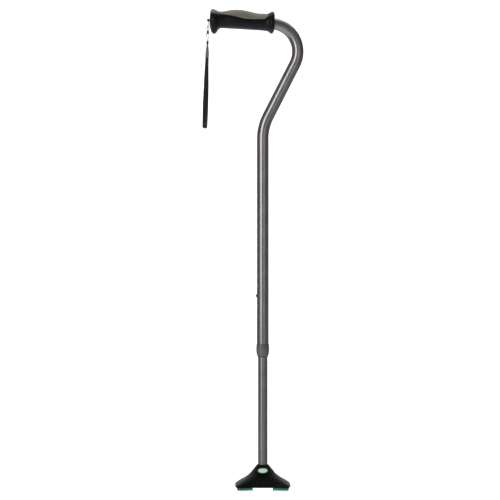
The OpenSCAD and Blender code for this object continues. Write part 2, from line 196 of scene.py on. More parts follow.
def join(name, parts):
    """One object from several."""
    bm = bmesh.new()
    for part in parts:
        bm.from_mesh(part.data)
        bpy.data.objects.remove(part)
    mesh = bpy.data.meshes.new(name)
    bm.to_mesh(mesh)
    bm.free()
    mesh.shade_smooth()
    obj = bpy.data.objects.new(name, mesh)
    bpy.context.scene.collection.objects.link(obj)
    return obj


def bake_modifiers(obj):
    """Apply the modifiers, so the mesh is final."""
    graph = bpy.context.evaluated_depsgraph_get()
    mesh = bpy.data.meshes.new_from_object(obj.evaluated_get(graph))
    obj.modifiers.clear()
    obj.data = mesh


def carve(obj, cutters):
    """Cut each cutter out of the object, and remove the cutter."""
    for cutter in cutters:
        cut = obj.modifiers.new("cut", "BOOLEAN")
        cut.operation = "DIFFERENCE"
        cut.object = cutter
        cut.solver = "EXACT"
        bake_modifiers(obj)
        bpy.data.objects.remove(cutter)


def prism(name, outline, low, high):
    """Upright prism over an outline, all in millimetres."""
    n = len(outline)
    verts = [Vector((x, y, z)) * MM for z in (low, high) for x, y in outline]
    faces = [tuple(range(n)), tuple(range(2 * n - 1, n - 1, -1))]
    faces += [(j, (j + 1) % n, n + (j + 1) % n, n + j) for j in range(n)]
    return add_mesh(name, verts, faces)


def soften(obj, width_mm):
    """Bevel the hard edges."""
    edge = obj.modifiers.new("edge", "BEVEL")
    edge.width = width_mm * MM
    edge.segments = 2
    edge.limit_method = "ANGLE"
    edge.angle_limit = math.radians(38)
    bake_modifiers(obj)
    sharp(obj, 50)


def sharp(obj, angle):
    """Smooth shading that breaks at edges sharper than angle."""
    obj.data.shade_smooth()
    bm = bmesh.new()
    bm.from_mesh(obj.data)
    for e in bm.edges:
        if len(e.link_faces) == 2:
            e.smooth = e.calc_face_angle() < math.radians(angle)
    bm.to_mesh(obj.data)
    bm.free()


def stitches(name, spots, length, radius):
    """Thread stitches: each spot is a place, a direction along the seam and a normal."""
    parts = []
    for place, along, normal in spots:
        a = place - along * length * 0.5 * MM
        b = place + along * length * 0.5 * MM
        lift = normal * radius * 0.75 * MM
        pts = [a - lift * 0.8, a + lift * 0.4, place + lift, b + lift * 0.4, b - lift * 0.8]
        parts.append(tube(name + "_one", pts, radius, 8))
    return join(name, parts)


# ---------------------------------------------------------------- materials


def nodes_of(name):
    """A new material, with its nodes, its links and its shader."""
    m = bpy.data.materials.new(name)
    m.use_nodes = True
    return m, m.node_tree.nodes, m.node_tree.links, m.node_tree.nodes["Principled BSDF"]


def mottled(n, l, colours, scale, where):
    """Noise through a ramp from the first colour to the last."""
    tex = n.new("ShaderNodeTexNoise")
    tex.inputs["Scale"].default_value = scale
    tex.inputs["Detail"].default_value = 4.0
    l.new(where, tex.inputs["Vector"])
    ramp = n.new("ShaderNodeValToRGB")
    ramp.color_ramp.elements[0].position = 0.35
    ramp.color_ramp.elements[1].position = 0.65
    ramp.color_ramp.elements[0].color = (*colours[0], 1)
    ramp.color_ramp.elements[1].color = (*colours[1], 1)
    l.new(tex.outputs["Fac"], ramp.inputs["Fac"])
    return tex, ramp


def spread_rough(n, l, bsdf, source, low, high):
    """Roughness between low and high, by a 0 to 1 output."""
    span = n.new("ShaderNodeMapRange")
    span.inputs["To Min"].default_value = low
    span.inputs["To Max"].default_value = high
    l.new(source, span.inputs["Value"])
    l.new(span.outputs["Result"], bsdf.inputs["Roughness"])


def bump(n, l, bsdf, heights, distance=0.0002):
    """Bump from (output, strength) pairs, one after another."""
    previous = None
    for height, strength in heights:
        node = n.new("ShaderNodeBump")
        node.inputs["Strength"].default_value = strength
        node.inputs["Distance"].default_value = distance
        l.new(height, node.inputs["Height"])
        if previous:
            l.new(previous.outputs["Normal"], node.inputs["Normal"])
        previous = node
    l.new(previous.outputs["Normal"], bsdf.inputs["Normal"])


def plain_material(name, dark, light, rough, metallic=0.0, grain=1500.0, grain_strength=0.25,
                   coat=0.0, coat_rough=0.2, sheen=0.0, specular=0.5, patch=60.0, stretch=(1, 1, 1), tint=1.0,
                   glow=0.0):
    """Mottled plastic, metal or thread with a fine grain."""
    m, n, l, bsdf = nodes_of(name)
    place = n.new("ShaderNodeTexCoord")
    scale = n.new("ShaderNodeMapping")
    scale.inputs["Scale"].default_value = stretch
    l.new(place.outputs["Object"], scale.inputs["Vector"])
    where = scale.outputs["Vector"]
    cloud, ramp = mottled(n, l, (dark, light), patch, where)
    fine = n.new("ShaderNodeTexNoise")
    fine.inputs["Scale"].default_value = grain
    fine.inputs["Detail"].default_value = 2.0
    l.new(where, fine.inputs["Vector"])
    speck = n.new("ShaderNodeMix")
    speck.data_type = "RGBA"
    speck.blend_type = "OVERLAY"
    speck.inputs["Factor"].default_value = 0.12
    l.new(ramp.outputs["Color"], speck.inputs["A"])
    l.new(fine.outputs["Color"], speck.inputs["B"])
    l.new(speck.outputs["Result"], bsdf.inputs["Base Color"])
    bsdf.inputs["Metallic"].default_value = metallic
    bsdf.inputs["Coat Weight"].default_value = coat
    bsdf.inputs["Coat Roughness"].default_value = coat_rough
    bsdf.inputs["Sheen Weight"].default_value = sheen
    bsdf.inputs["Specular IOR Level"].default_value = specular
    bsdf.inputs["Specular Tint"].default_value = (tint, tint, tint, 1)
    bsdf.inputs["Emission Color"].default_value = (1, 1, 1, 1)
    bsdf.inputs["Emission Strength"].default_value = glow
    spread_rough(n, l, bsdf, cloud.outputs["Fac"], rough[0], rough[1])
    bump(n, l, bsdf, [(fine.outputs["Fac"], grain_strength), (cloud.outputs["Fac"], 0.05)])
    return m


def moulded_rubber(name, dark, light, rough, pit, specular):
    """Rubber with a fine leather-like mould grain and a few pale scuffs."""
    m, n, l, bsdf = nodes_of(name)
    place = n.new("ShaderNodeTexCoord")
    where = place.outputs["Object"]
    cloud, ramp = mottled(n, l, (dark, light), 45.0, where)
    cells = n.new("ShaderNodeTexVoronoi")
    cells.inputs["Scale"].default_value = pit
    l.new(where, cells.inputs["Vector"])
    scuff = n.new("ShaderNodeTexNoise")
    scuff.inputs["Scale"].default_value = 260.0
    scuff.inputs["Detail"].default_value = 6.0
    l.new(where, scuff.inputs["Vector"])
    worn = n.new("ShaderNodeMapRange")
    worn.inputs["From Min"].default_value = 0.62
    worn.inputs["From Max"].default_value = 0.8
    worn.inputs["To Max"].default_value = 0.35
    l.new(scuff.outputs["Fac"], worn.inputs["Value"])
    mix = n.new("ShaderNodeMix")
    mix.data_type = "RGBA"
    mix.inputs["B"].default_value = (light[0] * 2 + 0.01, light[1] * 2 + 0.01, light[2] * 2 + 0.01, 1)
    l.new(worn.outputs["Result"], mix.inputs["Factor"])
    l.new(ramp.outputs["Color"], mix.inputs["A"])
    l.new(mix.outputs["Result"], bsdf.inputs["Base Color"])
    bsdf.inputs["Specular IOR Level"].default_value = specular
    spread_rough(n, l, bsdf, scuff.outputs["Fac"], rough[0], rough[1])
    bump(n, l, bsdf, [(cells.outputs["Distance"], 0.3), (cloud.outputs["Fac"], 0.08)], 0.00008)
    return m


def woven(name, dark, light, across, along, rough, sheen, sparkle=0.0):
    """Cloth whose UV runs across and along it in millimetres."""
    m, n, l, bsdf = nodes_of(name)
    uv = n.new("ShaderNodeTexCoord")
    parts = n.new("ShaderNodeSeparateXYZ")
    l.new(uv.outputs["UV"], parts.inputs["Vector"])

    def thread(axis, pitch):
        angle = n.new("ShaderNodeMath")
        angle.operation = "MULTIPLY"
        angle.inputs[1].default_value = 2 * math.pi / pitch
        l.new(parts.outputs[axis], angle.inputs[0])
        wave = n.new("ShaderNodeMath")
        wave.operation = "SINE"
        l.new(angle.outputs[0], wave.inputs[0])
        return wave.outputs[0]

    product = n.new("ShaderNodeMath")
    product.operation = "MULTIPLY"
    l.new(thread("X", across), product.inputs[0])
    l.new(thread("Y", along), product.inputs[1])
    level = n.new("ShaderNodeMapRange")
    level.inputs["From Min"].default_value = -1.0
    l.new(product.outputs[0], level.inputs["Value"])
    ramp = n.new("ShaderNodeValToRGB")
    ramp.color_ramp.elements[0].color = (*dark, 1)
    ramp.color_ramp.elements[1].color = (*light, 1)
    l.new(level.outputs["Result"], ramp.inputs["Fac"])
    fuzz = n.new("ShaderNodeTexNoise")
    fuzz.inputs["Scale"].default_value = 3000.0
    l.new(uv.outputs["Object"], fuzz.inputs["Vector"])
    colour = n.new("ShaderNodeMix")
    colour.data_type = "RGBA"
    colour.blend_type = "OVERLAY"
    colour.inputs["Factor"].default_value = 0.3 + sparkle
    l.new(ramp.outputs["Color"], colour.inputs["A"])
    l.new(fuzz.outputs["Color"], colour.inputs["B"])
    l.new(colour.outputs["Result"], bsdf.inputs["Base Color"])
    bsdf.inputs["Sheen Weight"].default_value = sheen
    bsdf.inputs["Sheen Roughness"].default_value = 0.5
    spread_rough(n, l, bsdf, fuzz.outputs["Fac"], rough - 0.15, rough + 0.1)
    bump(n, l, bsdf, [(level.outputs["Result"], 0.5), (fuzz.outputs["Fac"], 0.2)], 0.0001)
    return m


tube_metal = plain_material("tube_metal", (0.212, 0.2, 0.2), (0.245, 0.232, 0.232), (0.3, 0.36),
                            metallic=0.9, grain=9000, grain_strength=0.06, tint=0.12)
collar_plastic = plain_material("collar_plastic", (0.095, 0.09, 0.09), (0.14, 0.134, 0.134), (0.32, 0.42),
                                metallic=0.5, grain=5000, grain_strength=0.12, tint=0.15)
steel = plain_material("steel", (0.5, 0.5, 0.51), (0.62, 0.62, 0.63), (0.25, 0.38), metallic=1.0,
                       grain=2500, grain_strength=0.12, stretch=(1, 1, 0.1))
button_metal = plain_material("button_metal", (0.10, 0.10, 0.105), (0.16, 0.16, 0.165), (0.2, 0.3),
                              metallic=0.9, grain=4000, grain_strength=0.05, tint=0.3)
nylon = plain_material("nylon", (0.018, 0.018, 0.02), (0.03, 0.03, 0.032), (0.42, 0.55), grain=2500)
dark_metal = plain_material("dark_metal", (0.004, 0.004, 0.005), (0.01, 0.01, 0.011), (0.3, 0.4),
                            metallic=0.2, grain=5000, grain_strength=0.12)
badge_gloss = plain_material("badge_gloss", (0.5, 0.76, 0.56), (0.6, 0.86, 0.66), (0.22, 0.3),
                             grain=3000, grain_strength=0.05, coat=0.8, coat_rough=0.08)
bezel_green = plain_material("bezel_green", (0.0, 0.06, 0.025), (0.004, 0.09, 0.04), (0.25, 0.35),
                             grain=3000, grain_strength=0.08, coat=0.4, coat_rough=0.15)
tread_green = moulded_rubber("tread_green", (0.001, 0.115, 0.052), (0.003, 0.165, 0.08), (0.5, 0.68), 900, 0.3)
grip_rubber = moulded_rubber("grip_rubber", (0.001, 0.0022, 0.003), (0.002, 0.0036, 0.0046), (0.34, 0.46),
                             1500, 0.16)
gel_rubber = moulded_rubber("gel_rubber", (0.15, 0.135, 0.113), (0.185, 0.168, 0.142), (0.5, 0.66), 1700, 0.25)
pod_rubber = moulded_rubber("pod_rubber", (0.0008, 0.0018, 0.0014), (0.0016, 0.003, 0.0024), (0.46, 0.58),
                            1300, 0.08)
black_weave = woven("black_weave", (0.0025, 0.0025, 0.003), (0.008, 0.008, 0.0095), 1.6, 1.1, 0.7, 0.03)
reflective = woven("reflective", (0.13, 0.134, 0.134), (0.22, 0.225, 0.225), 0.7, 0.7, 0.45, 0.05, 0.2)
black_cord = plain_material("black_cord", (0.006, 0.006, 0.007), (0.014, 0.014, 0.016), (0.6, 0.75),
                            grain=6000, grain_strength=0.4, sheen=0.15)
pale_cord = plain_material("pale_cord", (0.11, 0.11, 0.11), (0.18, 0.18, 0.18), (0.55, 0.7),
                           grain=6000, grain_strength=0.4, sheen=0.2)
grey_thread = plain_material("grey_thread", (0.05, 0.05, 0.052), (0.09, 0.09, 0.092), (0.5, 0.6),
                             grain=6000, grain_strength=0.3)

CAD_MATERIALS = {
    "upper_tube": tube_metal, "lower_tube": tube_metal, "locking_collar": collar_plastic,
    "pod_core_plate": steel, "tube_washer": steel, "button_spring": steel, "snap_button": button_metal,
    "pod_socket": nylon, "slide_bushing": nylon, "guide_bush": nylon, "clamp_ring": nylon,
    "tube_plug": nylon, "grip_core": nylon, "grip_end_cap": nylon,
    "strap_lug": dark_metal, "strap_ring": dark_metal, "swivel_barrel": dark_metal,
    "strap_ferrule": dark_metal,
}
for node, finish in CAD_MATERIALS.items():
    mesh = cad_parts[node].data
    if not mesh.materials:
        mesh.materials.append(finish)
    for i in range(len(mesh.materials)):
        mesh.materials[i] = finish


def wear(obj, material, slot_name, body, *nodes):
    """Finish a piece: material, body, and the CAD nodes it stands for; slot_name is not used."""
    obj.data.materials.clear()
    obj.data.materials.append(material)
    if body:
        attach(obj, body)
    if nodes:
        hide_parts(*nodes)


# ---------------------------------------------------------------- cords


def cord_curve(name, route, diameter, material, slot_name, body, node):
    """Round cord as a curve through every point of a smooth route in metres."""
    curve = bpy.data.curves.new(name, "CURVE")
    curve.dimensions = "3D"
    curve.bevel_depth = diameter / 2 * MM
    curve.bevel_resolution = 4
    spline = curve.splines.new("POLY")
    spline.points.add(len(route) - 1)
    for point, place in zip(spline.points, route):
        point.co = (*place, 1)
    obj = bpy.data.objects.new(name, curve)
    bpy.context.scene.collection.objects.link(obj)
    wear(obj, material, slot_name, body, node)


# Half outlines of the two loops, in the strap's frame
tie_half = [(0.0, 0.0), (1.6, 0.0), (2.2, -0.2), (2.5, -0.9), (2.5, -4.0), (1.7, -9.0),
            (1.45, -13.2), (1.1, -14.1), (0.0, -14.6)]
tie_run = tie_half + [(-a, b) for a, b in reversed(tie_half[1:-1])] + [(-0.35, 0.0)]
tie_route = [on_strap(0, p[0], -p[1]) for p in smooth_path(tie_run, 5)]
cord_curve("tie_cord_loop", tie_route, 1.3, black_cord, "black_cord", "strap_tie", "tie_cord")

leader_half = [(0.85, 40.9), (0.85, 39.9), (1.0, 36.9), (1.6, 32.9), (2.2, 28.9), (2.8, 25.9),
               (2.65, 25.15), (2.1, 24.9), (1.0, 24.9)]
leader_run = leader_half + [(-a, b) for a, b in reversed(leader_half)]
leader_route = [on_strap(p[0], 0, p[1]) for p in smooth_path(leader_run, 5)]
cord_curve("leader_cord_loop", leader_route, 1.1, pale_cord, "pale_cord", "strap", "leader_cord")

# Small knot that closes the tie cord below the ear
KNOT_STEPS = 60
KNOT_R = 0.62
knot_points = []
for a in turn_angles(KNOT_STEPS):
    knot_points.append(on_strap(
        0.55 * (math.sin(a) + 2 * math.sin(2 * a)) * 0.55,
        0.75 * (math.cos(a) - 2 * math.cos(2 * a)) * 0.62,
        10.4 - 1.1 * math.sin(3 * a) * 0.7,
    ))
knot_rings = []
for i, p in enumerate(knot_points):
    along = (knot_points[(i + 1) % KNOT_STEPS] - knot_points[i - 1]).normalized()
    side = along.cross(Vector((0.3, 0.2, 1))).normalized()
    up = along.cross(side)
    knot_rings.append([p + (side * math.cos(b) + up * math.sin(b)) * KNOT_R * MM for b in turn_angles(12)])
knot = loft("tie_cord_knot", knot_rings, closed_path=True)
wear(knot, black_cord, "black_cord", "strap_tie")

# ---------------------------------------------------------------- grip

# Sections along the grip: place, height above the axis, depth below it and half-width
SECTIONS = [
    [-117.4, 13.5, 8.0, 11.5], [-116.7, 18.6, 11.8, 16.0], [-115.4, 20.6, 15.2, 18.6],
    [-114.2, 21.5, 19.0, 20.4], [-111.2, 21.7, 24.0, 21.8], [-106.6, 20.2, 25.7, 21.8],
    [-102.6, 18.3, 22.2, 19.6], [-99.8, 17.8, 17.4, 17.4], [-95.5, 17.8, 14.2, 16.6],
    [-88, 19.2, 13.9, 17.0], [-78, 21.6, 13.9, 18.0], [-68, 22.7, 13.9, 18.6],
    [-58, 22.5, 14.0, 18.6], [-48, 21.5, 14.1, 18.2], [-38, 19.6, 14.2, 17.4],
    [-27, 17.8, 14.3, 16.8], [-14, 17.9, 14.6, 16.9], [-9.5, 18.2, 14.9, 17.1],
    [-6, 19.3, 15.7, 18.0], [-5.4, 19.6, 15.9, 18.2], [-3.2, 21.0, 17.4, 19.4],
    [0.4, 23.1, 19.6, 21.4], [3.6, 21.9, 18.6, 20.4], [5.6, 18.4, 15.8, 17.4], [6.2, 15.4, 13.6, 14.8],
]
# Height of the pad's lower edge along the grip
PAD_EDGE = [[-117, 12.7], [-95, 12.6], [-73, 9.2], [-51, 4.8], [-35, 4.5], [-13, 6.2], [-6, 13]]
PAD_DEPTH = 2.4
PAD_END = -6.0


def grip_point(s, degrees, inset):
    """Point on a grip section at an angle, sunk by inset."""
    a = math.radians(degrees)
    y = s[3] * math.cos(a)
    z = (s[1] if math.sin(a) > 0 else s[2]) * math.sin(a)
    k = 1 - inset / math.hypot(y, z)
    return on_handle(s[0], y * k, z * k)


def edge_angle(s):
    """Angle at which the pad's edge crosses a grip section."""
    return math.degrees(math.asin(min(0.96, table(s[0], PAD_EDGE) / s[1])))


FRONT_MOUTH = [[-115.2, 7.05, 7.05, 7.05], [-117.0, 7.2, 7.2, 7.2], [-117.4, 7.9, 7.6, 7.9]]
BACK_MOUTH = [[6.3, 13.0, 12.4, 12.6], [6.0, 11.7, 11.7, 11.7], [4.5, 11.3, 11.3, 11.3]]
SEAT_GAP = 1.2
grip_sections = smooth_path(SECTIONS, 5)
grip_rings = []
for s in FRONT_MOUTH + grip_sections + BACK_MOUTH:
    edge = edge_angle(s)
    seated = PAD_DEPTH if -117.4 < s[0] < PAD_END + 0.1 and s[1] > 9 else 0.0
    ring = []
    for k in range(61):
        t = 180 - edge + (180 + 2 * edge) * k / 60
        rounding = 0.35 if seated and k in (0, 60) else 0.0
        ring.append(grip_point(s, t, rounding))
    for k in range(31):
        t = edge + SEAT_GAP + (180 - 2 * edge - 2 * SEAT_GAP) * k / 30
        ring.append(grip_point(s, t, seated))
    grip_rings.append(ring)
grip = loft("grip_moulding", grip_rings)
sharp(grip, 42)
wear(grip, grip_rubber, "grip_rubber", "upper", "grip_body")

pad_sections = [s for s in grip_sections if s[0] <= PAD_END + 0.01]
pad_sections = [[s[0] + 0.02 * (s is pad_sections[0]), *s[1:]] for s in pad_sections]
PAD_GAP = 0.8
PAD_UNDER_GAP = 1.6
pad_rings = []
for s in pad_sections:
    edge = edge_angle(s)
    from_end = min(s[0] - pad_sections[0][0], pad_sections[-1][0] - s[0])
    end_round = 1.3 * (1 - math.sqrt(1 - (1 - min(1.0, from_end / 1.6)) ** 2))
    ring = []
    for k in range(41):
        t = edge + PAD_GAP + (180 - 2 * edge - 2 * PAD_GAP) * k / 40
        from_edge = min(k, 40 - k) / 40 * math.radians(180 - 2 * edge) * s[3]
        edge_round = 1.0 * (1 - math.sqrt(1 - (1 - min(1.0, from_edge / 1.4)) ** 2))
        crown = -0.22 * step01(from_edge / 5) * step01(from_end / 6)
        ring.append(grip_point(s, t, max(edge_round, end_round) + crown))
    for k in range(41):
        t = 180 - edge - PAD_UNDER_GAP - (180 - 2 * edge - 2 * PAD_UNDER_GAP) * k / 40
        ring.append(grip_point(s, t, PAD_DEPTH - 0.12))
    pad_rings.append(ring)
pad = loft("gel_pad_skin", pad_rings)
sharp(pad, 60)
wear(pad, gel_rubber, "gel_pad", "upper", "grip_gel_pad")

# ---------------------------------------------------------------- locking collar

COLLAR_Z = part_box("locking_collar")[0][2] / MM
COLLAR_OUTSIDE = smooth_path([
    [9.9, 0], [10.6, 1.2], [11.35, 3.4], [12, 7], [12.42, 11], [12.48, 14.5], [12.2, 18.4], [11.9, 21.2],
    [11.85, 22.8], [11.6, 23.7]], 9)
COLLAR_PROFILE = [(9.15, 0.3), (9.2, 0.0)] + COLLAR_OUTSIDE + [(11.4, 23.8), (11.2, 23.6), (11.2, 18), (11.2, 7)]
SKIN_R = 11.3
KNURL_LOW, KNURL_HIGH, KNURL_FADE = 5.0, 20.4, 1.2
KNURL_DEPTH, KNURL_TURNS, KNURL_PITCH, KNURL_POWER = 0.6, 9, 0.72, 0.6
LINE_BANDS = ((20.9, 21.9), (3.7, 4.5))
LINE_DEPTH = 0.3


def collar_sink(r, h, a):
    """How far the collar's skin is pressed in: a diamond knurl between two turned lines."""
    if any(low < h < high for low, high in LINE_BANDS):
        return -LINE_DEPTH
    if r > SKIN_R and KNURL_LOW < h < KNURL_HIGH:
        band = step01((h - KNURL_LOW) / KNURL_FADE) * step01((KNURL_HIGH - h) / KNURL_FADE)
        rising = abs(math.sin(KNURL_TURNS * a + h * KNURL_PITCH)) ** KNURL_POWER
        falling = abs(math.sin(KNURL_TURNS * a - h * KNURL_PITCH)) ** KNURL_POWER
        return -KNURL_DEPTH * band * (1 - rising * falling)
    return 0.0


collar_rings = []
for r, h in COLLAR_PROFILE:
    ring = []
    for a in turn_angles(240):
        k = collar_sink(r, h, a)
        ring.append(Vector(((r + k) * math.cos(a), (r + k) * math.sin(a), COLLAR_Z + h)) * MM)
    collar_rings.append(ring)
collar = loft("collar_shell", collar_rings)
sharp(collar, 55)
wear(collar, collar_plastic, "grey_plastic", "collar", "locking_collar")
SEAL_PROFILE = ((9.0, 0.4), (9.0, -1.6), (9.25, -1.9), (9.6, -1.7), (9.75, -0.9), (9.75, 0.4))
seal = loft("collar_seal", [
    [Vector((r * math.cos(a), r * math.sin(a), COLLAR_Z + h)) * MM for r, h in SEAL_PROFILE]
    for a in turn_angles(96)], closed_path=True)
wear(seal, nylon, "black_nylon", "collar")

# ---------------------------------------------------------------- button spring

(spring_near, spring_front, spring_low), (spring_far, spring_back, spring_high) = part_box("button_spring")
STRIP = 0.6 * MM
NEAR_LEG_SHORT = 3 * MM
bend = (spring_far - spring_near) / 2
bend_x, bend_z = spring_near + bend, spring_low + bend
line = [(spring_near + STRIP / 2, spring_high - NEAR_LEG_SHORT, 1, 0)]
for k in range(25):
    a = math.pi + math.pi * k / 24
    line.append((bend_x + (bend - STRIP / 2) * math.cos(a), bend_z + (bend - STRIP / 2) * math.sin(a),
                 -math.cos(a), -math.sin(a)))
line.append((spring_far - STRIP / 2, spring_high, -1, 0))
spring = loft("button_spring_strip", [
    [Vector((x + nx * s * STRIP / 2, y, z + nz * s * STRIP / 2))
     for s, y in ((-1, spring_front), (1, spring_front), (1, spring_back), (-1, spring_back))]
    for x, z, nx, nz in line])
sharp(spring, 40)
wear(spring, steel, "plain_steel", None, "button_spring")
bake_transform(spring)

# ---------------------------------------------------------------- base

# Outline of the base: height, half-width, squareness and waist of each section
POD = [
    [6, 50.4, 7, 0.2], [7, 52, 7, 0.2], [8.4, 52.4, 7, 0.2], [10.6, 51, 6.5, 0.2],
    [13.4, 47.6, 5.8, 0.19], [17, 42.4, 5, 0.17], [21.2, 35.8, 4, 0.14],
    [25.8, 29.4, 3.2, 0.1], [30.6, 24, 2.6, 0.05], [35, 20.6, 2.2, 0.02],
    [39, 17.3, 2, 0], [42.8, 14.2, 2, 0], [45.6, 12, 2, 0], [46.6, 11.2, 2, 0],
]


def superpoint(t, n):
    """Point on a unit superellipse."""
    c, s = math.cos(t), math.sin(t)
    return math.copysign(abs(c) ** (2 / n), c), math.copysign(abs(s) ** (2 / n), s)


def waist(t, c):
    """Pull-in of the outline between the feet, mostly at the front and the back."""
    return 1 - c * math.cos(2 * t) ** 2 * (0.1 + 0.9 * math.sin(t) ** 2)


def plan_point(section, t):
    """Outline of the base at one height: half-width, squareness and waist."""
    z, half, n, c = section
    reach = max(superpoint(math.radians(a * 2.5), n)[0] * waist(math.radians(a * 2.5), c) for a in range(19))
    k = half * waist(t, c) / reach
    p = superpoint(t, n)
    return p[0] * k, p[1] * k * table(z, [[16, 0.89], [40.6, 1.0]])


POD_STEPS = 144
POD_ANGLES = [(j + 0.5) * 2 * math.pi / POD_STEPS for j in range(POD_STEPS)]
SOLE_SCALE = 0.96
SOLE_Z = 5.98
BASE_MOUTH = ((10.6, 46.9), (9.8, 46.95), (9.2, 46.7), (9.0, 46.0), (8.96, 42), (8.96, 38))
sole = [plan_point(POD[0], t) for t in POD_ANGLES]
pod_rings = [[Vector((x * SOLE_SCALE, y * SOLE_SCALE, SOLE_Z)) * MM for x, y in sole]]
pod_rings += [[Vector((*plan_point(s, t), s[0])) * MM for t in POD_ANGLES] for s in smooth_path(POD, 5)]
pod_rings += [[Vector((r * math.cos(t), r * math.sin(t), z)) * MM for t in POD_ANGLES] for r, z in BASE_MOUTH]
pod = loft("base_rubber", pod_rings)


def cross_outline(arm_x, arm_y, half_x, half_y):
    """Outline of a cross from the reach and the half-width of its arms."""
    return [(arm_x, half_y), (half_x, half_y), (half_x, arm_y), (-half_x, arm_y), (-half_x, half_y),
            (-arm_x, half_y), (-arm_x, -half_y), (-half_x, -half_y), (-half_x, -arm_y), (half_x, -arm_y),
            (half_x, -half_y), (arm_x, -half_y)]


def disc_outline(r):
    return [(r * math.cos(a), r * math.sin(a)) for a in turn_angles(72)]


hollow = prism("hollow", cross_outline(38, 33, 16, 10), -2, 13)
carve(hollow, [prism("boss", disc_outline(27.5), -4, 20)])
well = prism("well", disc_outline(25.05), -2, 11.6)
carve(pod, [hollow, well])
sharp(pod, 40)
wear(pod, pod_rubber, "black_rubber", None, "pod_body")
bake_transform(pod)

FOOT_X, FOOT_Y = 19, 13
TREAD_RIM = [6, 49.4, 7, 0.2]
TREAD_H = 6
GROOVE_FIRST, GROOVE_W, GROOVE_PITCH, GROOVE_DEPTH = 2.6, 1.6, 4.2, 2.4
rim = [plan_point(TREAD_RIM, t) for t in POD_ANGLES]
corner = [p for p in rim if p[0] > FOOT_X and p[1] > FOOT_Y]
quarter = corner + [(FOOT_X, corner[-1][1]), (FOOT_X, FOOT_Y + 4), (FOOT_X + 1.2, FOOT_Y + 1.2),
                    (FOOT_X + 4, FOOT_Y), (corner[0][0], FOOT_Y)]
for name, sx, sy in (("front_left", -1, -1), ("front_right", 1, -1), ("rear_left", -1, 1), ("rear_right", 1, 1)):
    foot = prism("tread_" + name, [(sx * x, sy * y) for x, y in quarter], 0, TREAD_H)
    cutters = []
    x = FOOT_X + GROOVE_FIRST
    while x < 50:
        lo, hi = sorted((sx * x, sx * (x + GROOVE_W)))
        cutters.append(prism("groove", [(lo, sy * 5), (hi, sy * 5), (hi, sy * 60), (lo, sy * 60)], -1, GROOVE_DEPTH))
        x += GROOVE_PITCH
    carve(foot, cutters)
    soften(foot, 0.3)
    wear(foot, tread_green, "green_tread", "pod", "tread_pad_" + name)

BADGE = Vector((0, -19.2, 36.2)) * MM
badge_turn = Matrix.Rotation(math.radians(48), 3, "X")


def badge_point(rx, ry, z, a):
    """Point on an ellipse in the badge's leaning frame, at height z."""
    return BADGE + badge_turn @ (Vector((rx * math.cos(a), ry * math.sin(a), z)) * MM)


BADGE_RINGS = ((8.75, 5.35, 0.6), (8.75, 5.35, 1.0), (8.55, 5.15, 1.3), (7.9, 4.6, 1.45), (7.5, 4.25, 1.3),
               (7.1, 3.95, 1.3), (6.7, 3.65, 1.5), (4.6, 2.4, 1.68), (2.0, 1.0, 1.74))
badge = loft("badge_dome", [[badge_point(rx, ry, z, a) for a in turn_angles(72)] for rx, ry, z in BADGE_RINGS])
wear(badge, badge_gloss, "pale_green_plastic", "lower_leg", "badge")
BEZEL_X, BEZEL_Y = 8.8, 5.4
BEZEL_PROFILE = ((0.0, 0.6), (0.0, 1.7), (0.22, 2.0), (0.65, 2.1), (1.05, 1.9), (1.27, 1.4), (1.3, 0.6))
bezel = loft("badge_rim", [[badge_point(BEZEL_X + r, BEZEL_Y + r, z, a) for r, z in BEZEL_PROFILE]
                           for a in turn_angles(96)], closed_path=True)
wear(bezel, bezel_green, "dark_green_plastic", "lower_leg", "badge_bezel")

# ---------------------------------------------------------------- wrist strap


def strap_place(across, out, down):
    """Strap-frame point from its width, its thickness and the distance down; the webbing turns a little."""
    turn = math.radians(63 - 16 * step01((down - 60) / 70) + 17 * step01((down - 145) / 60))
    x = across * math.cos(turn) - out * math.sin(turn)
    y = across * math.sin(turn) + out * math.cos(turn)
    return on_strap(x, y, down)


WEB_TOP = 62
LOOP_CENTRE = 202.6
LOOP_R = 2.6
SEWN_GAP = 0.66
LEG_STEPS = 280
line = []
for k in range(LEG_STEPS + 1):
    d = WEB_TOP + (LOOP_CENTRE - WEB_TOP) * k / LEG_STEPS
    gap = SEWN_GAP + (LOOP_R - SEWN_GAP) * step01((d - 74) / (LOOP_CENTRE - 84))
    line.append((gap, d))
for k in range(1, 24):
    a = math.pi * k / 24
    line.append((LOOP_R * math.cos(a), LOOP_CENTRE + LOOP_R * math.sin(a)))
line += [(-g, d) for g, d in reversed(line[:LEG_STEPS + 1])]
WEB_HALF = 5.0
WEB_T = 0.55
RIB_PITCH = 1.45
PICK_PITCH = 1.5
web_rings = []
web_run = []
run = 0.0
for i, (g, d) in enumerate(line):
    a, b = line[max(i - 1, 0)], line[min(i + 1, len(line) - 1)]
    tangent = Vector((b[0] - a[0], b[1] - a[1])).normalized()
    normal = Vector((tangent[1], -tangent[0]))
    if i:
        run += math.dist(line[i], line[i - 1])
    web_run.append(run)
    ring = []
    for side in (1, -1):
        for k in range(17):
            u = side * (1 - 2 * k / 16)
            rib = 0.07 * math.cos(u * WEB_HALF * 2 * math.pi / RIB_PITCH) * (1 - u**6)
            pick = 0.035 * math.cos(run * 2 * math.pi / PICK_PITCH + (0 if (k % 2) else math.pi))
            thick = (WEB_T * (1 - 0.62 * abs(u) ** 10) + rib * 0.6 + pick) * side
            x = u * WEB_HALF + 0.12 * math.sin(d * 0.11)
            ring.append(strap_place(x, g + normal[0] * thick, d + normal[1] * thick))
    web_rings.append(ring)
webbing = loft("webbing_loop", web_rings)
uv = webbing.data.uv_layers.new(name="UVMap")
ring_size = len(web_rings[0])
